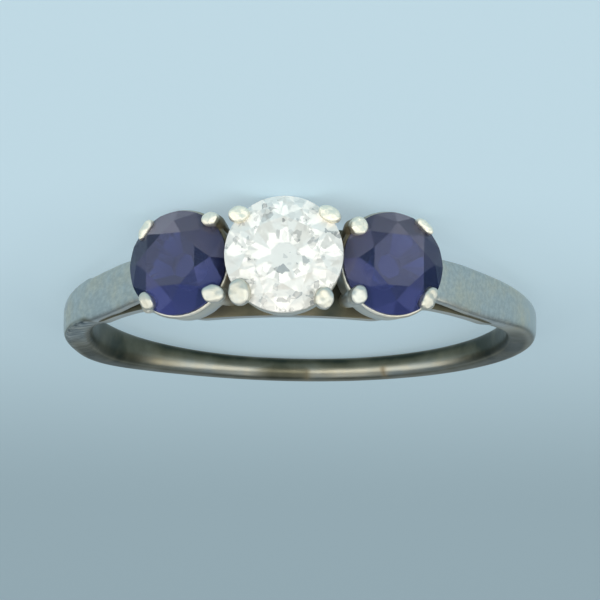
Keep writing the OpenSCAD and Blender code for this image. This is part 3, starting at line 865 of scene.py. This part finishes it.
def cut_sapphire():
    """Blue sapphire, cut and polished: corundum whose depth drinks red and green, worn on its facets.
    Light and shade are painted into the haze: it is paler on facets that face down and bluer on
    those that face up, darker on some facets than on others as painted reflections, and darker at
    the two ends of a stone as painted shade. It is paler on its worn top."""
    material, output = new_material("cut_sapphire")
    place = add(material, "ShaderNodeTexCoord").outputs["Object"]
    rub = add(material, "ShaderNodeTexNoise", {"Scale": RUBS, "Detail": 6, "Roughness": 0.6},
              {"Vector": place})
    rough = add(material, "ShaderNodeMapRange",
                {"From Min": 0.35, "From Max": 0.7, "To Min": 0.06, "To Max": 0.16},
                {"Value": rub.outputs["Fac"]})
    glass = add(material, "ShaderNodeBsdfPrincipled", {
        "Base Color": linear("#ffffff"), "IOR": 1.77, "Transmission Weight": 1.0,
        "Specular Tint": linear("#7f8cbf"),
    }, {"Roughness": rough.outputs["Result"]})
    depth = add(material, "ShaderNodeVolumeAbsorption",
                {"Color": linear("#2750bc"), "Density": 1.9 / MM})

    # Painted light on the haze by the way a facet faces: paler downwards, bluer upwards, with zones of
    # colour across it
    facing = add(material, "ShaderNodeNewGeometry").outputs["Normal"]
    lie = add(material, "ShaderNodeSeparateXYZ", None, {0: facing})
    wavy = add(material, "ShaderNodeTexNoise", {"Scale": COLOUR_ZONES, "Detail": 2, "Roughness": 0.5},
               {"Vector": place})
    bands = add(material, "ShaderNodeMath", {"operation": "MULTIPLY_ADD", 1: 0.8},
                {0: wavy.outputs["Fac"], 2: lie.outputs["Z"]})
    zoned = add(material, "ShaderNodeMapRange", {"From Min": 0.05, "From Max": 0.85},
                {"Value": bands.outputs[0]})
    body = add(material, "ShaderNodeMix",
               {"data_type": "RGBA", 6: linear("#dcd2e2"), 7: linear("#6f7ad0")},
               {0: zoned.outputs["Result"]})

    # Painted reflections: a tint for each facet, darker on some, standing for their different reflections
    chips = add(material, "ShaderNodeTexVoronoi", {"Scale": FACET_TINTS}, {"Vector": facing})
    chance = add(material, "ShaderNodeSeparateColor", None, {"Color": chips.outputs["Color"]})
    dark = add(material, "ShaderNodeMapRange", {"From Min": 0.3, "From Max": 1.0, "To Max": 0.85},
               {"Value": chance.outputs["Green"]})
    facets = add(material, "ShaderNodeMix", {"data_type": "RGBA", 7: linear("#23304f")},
                 {0: dark.outputs["Result"], 6: body.outputs[2]})

    # Painted shade at the ends: darker on facets that face along X much more or less than the stone's top
    # does
    sideways = add(material, "ShaderNodeMath", {"operation": "ABSOLUTE"}, {0: lie.outputs["X"]})
    turned = add(material, "ShaderNodeMath", {"operation": "SUBTRACT", 1: SIDE_TABLE[0]},
                 {0: sideways.outputs[0]})
    either_way = add(material, "ShaderNodeMath", {"operation": "ABSOLUTE"}, {0: turned.outputs[0]})
    far = add(material, "ShaderNodeMapRange", {"From Min": 0.15, "From Max": 0.42, "To Max": 0.75},
              {"Value": either_way.outputs[0]})
    ends = add(material, "ShaderNodeMix", {"data_type": "RGBA", 7: linear("#203a58")},
               {0: far.outputs["Result"], 6: facets.outputs[2]})

    # The worn top of either stone: facets that face its way, left and right alike
    mirrored = add(material, "ShaderNodeVectorMath", {"operation": "ABSOLUTE"}, {0: facing})
    on_axis = add(material, "ShaderNodeVectorMath", {"operation": "DOT_PRODUCT", 1: SIDE_TABLE},
                  {0: mirrored.outputs[0]})
    table = add(material, "ShaderNodeMapRange", {"From Min": 0.99, "From Max": 0.996, "To Max": 0.75},
                {"Value": on_axis.outputs["Value"]})
    worn = add(material, "ShaderNodeMix", {"data_type": "RGBA", 7: linear("#9698b8")},
               {0: table.outputs["Result"], 6: ends.outputs[2]})
    cut_stone(material, output, glass, worn.outputs[2], 0.3)
    material.node_tree.links.new(depth.outputs[0], output.inputs["Volume"])
    return material


def light_table():
    """Opal board: an even pale blue grey that glows a little, so shadows on it stay soft. The glow is
    painted light from the board itself, strongest at the front and fading toward the back."""
    material, output = new_material("opal_board")
    place = add(material, "ShaderNodeTexCoord").outputs["Object"]
    away = add(material, "ShaderNodeSeparateXYZ", None, {0: place})
    glow = add(material, "ShaderNodeMapRange", {
        "interpolation_type": "SMOOTHSTEP",
        "From Min": -12 * MM, "From Max": 34 * MM, "To Min": 0.58, "To Max": 0.2,
    }, {"Value": away.outputs["Y"]})
    board = add(material, "ShaderNodeBsdfPrincipled", {
        "Base Color": linear("#8fa3ac"), "Roughness": 0.9, "Specular IOR Level": 0.1,
        "Emission Color": linear("#c8dfea"),
    }, {"Emission Strength": glow.outputs["Result"]})
    material.node_tree.links.new(board.outputs[0], output.inputs["Surface"])
    return material


# Making


SHARP_ANGLE = np.radians(48)


def finish_metal(obj, metal):
    """Gives a metal piece its finish and its place on the part."""
    obj.data.materials.clear()
    obj.data.materials.append(metal)
    obj.data.shade_smooth()
    obj.data.set_sharp_from_angle(angle=SHARP_ANGLE)
    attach(obj, "root")
    return obj


metal = worn_white_gold()
pieces = [finish_metal(make_shank(), metal), finish_metal(make_gallery(), metal)]
pieces += [finish_metal(make_head(*head), metal) for head in HEADS]
for piece in pieces:
    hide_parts("ring_mount")

diamond = cut_diamond()
sapphire = cut_sapphire()
for name, stone in (("centre_diamond", diamond), ("left_sapphire", sapphire), ("right_sapphire", sapphire)):
    node = frame["nodes"][name]
    node.data.materials.clear()
    node.data.materials.append(stone)


# Stage, lights and camera


FLOOR_R = 1.2
FLOOR_SIDES = 96

# Soft lights on a sphere round the ring, in metres, a row for each. Columns: name, azimuth and
# elevation in degrees, width, height, radiance, colour
SOFTBOX_DISTANCE = 0.6
SOFTBOXES = (
    ("right_softbox", -62, 25, 0.9, 0.42, 1.35, "#fffcf2"),
    ("left_softbox", 56, 25, 0.9, 0.42, 1.35, "#fffcf2"),
    ("front_softbox", -3, 25, 0.36, 0.42, 1.9, "#fffcf2"),
    ("top_softbox", 0, 80, 0.6, 0.6, 0.6, "#f6f6f4"),
    ("back_softbox", 180, 24, 0.8, 0.4, 0.36, "#e4f0f6"),
)
ROOM_COLOUR = "#b2cad8"
ROOM_STRENGTH = 0.32

# The photograph's viewing angle: a long lens, turned upside down because the ring lies on the
# side that is up in the photograph
CAMERA_AZIMUTH = np.radians(-3.263)
CAMERA_ELEVATION = np.radians(18.361)
CAMERA_ROLL = np.radians(-178.742)
CAMERA_DISTANCE = 0.25
CAMERA_TARGET = np.array([-0.004, 1.567, 0.340]) * MM
CAMERA_SENSOR = 36
CAMERA_LENS = 359.85
CAMERA_REACH = (0.01, 5)

# Light bounces, enough to cross a stone's facets many times
STONE_BOUNCES = 20
GLOSS_BOUNCES = 8


def make_floor():
    """A flat disc: one face through a circle of points round the origin."""
    turn = np.linspace(0, 2 * np.pi, FLOOR_SIDES, endpoint=False)
    points = np.stack([FLOOR_R * np.cos(turn), FLOOR_R * np.sin(turn), 0 * turn], -1)
    mesh = bpy.data.meshes.new("floor")
    mesh.from_pydata(points.tolist(), [], [list(range(FLOOR_SIDES))])
    obj = bpy.data.objects.new("floor", mesh)
    bpy.context.scene.collection.objects.link(obj)
    mesh.materials.append(light_table())


def direction(azimuth, elevation):
    """Unit vector at an azimuth from the front (-Y) toward +X and an elevation, both in radians."""
    return np.array([
        np.sin(azimuth) * np.cos(elevation),
        -np.cos(azimuth) * np.cos(elevation),
        np.sin(elevation),
    ])


def look_at(obj, place, target, roll=0.0):
    """Puts a camera or lamp at a place, its -Z toward the target, turned round that line by roll."""
    back = np.array(place) - np.array(target)
    back = back / np.linalg.norm(back)
    right = np.cross(UP, back)
    right = right / np.linalg.norm(right)
    up = np.cross(back, right)
    turned_right = np.cos(roll) * right + np.sin(roll) * up
    turned_up = np.cross(back, turned_right)
    matrix = np.eye(4)
    matrix[:3, 0], matrix[:3, 1], matrix[:3, 2], matrix[:3, 3] = turned_right, turned_up, back, place
    obj.matrix_world = Matrix(matrix.tolist())


def softbox(name, azimuth, elevation, width, height, radiance, colour):
    """A plain rectangular soft light on a sphere round the ring, facing it. Its power is its
    radiance times pi times its area."""
    lamp = bpy.data.lights.new(name, "AREA")
    lamp.shape = "RECTANGLE"
    lamp.size = width
    lamp.size_y = height
    lamp.energy = radiance * np.pi * width * height
    lamp.color = linear(colour)[:3]
    obj = bpy.data.objects.new(name, lamp)
    bpy.context.scene.collection.objects.link(obj)
    look_at(obj, SOFTBOX_DISTANCE * direction(np.radians(azimuth), np.radians(elevation)), (0, 0, 0))


make_floor()
for row in SOFTBOXES:
    softbox(*row)

world = bpy.data.worlds.new("room")
bpy.context.scene.world = world
world.use_nodes = True
world.node_tree.nodes["Background"].inputs["Color"].default_value = linear(ROOM_COLOUR)
world.node_tree.nodes["Background"].inputs["Strength"].default_value = ROOM_STRENGTH

camera_data = bpy.data.cameras.new("camera")
camera_data.sensor_width = CAMERA_SENSOR
camera_data.lens = CAMERA_LENS
camera_data.clip_start, camera_data.clip_end = CAMERA_REACH
camera = bpy.data.objects.new("camera", camera_data)
bpy.context.scene.collection.objects.link(camera)
camera_place = CAMERA_TARGET + CAMERA_DISTANCE * direction(CAMERA_AZIMUTH, CAMERA_ELEVATION)
look_at(camera, camera_place, CAMERA_TARGET, CAMERA_ROLL)
bpy.context.scene.camera = camera

scene = bpy.context.scene
scene.view_settings.view_transform = "Standard"
scene.cycles.max_bounces = STONE_BOUNCES
scene.cycles.transmission_bounces = STONE_BOUNCES
scene.cycles.glossy_bounces = GLOSS_BOUNCES
scene.cycles.use_denoising = True
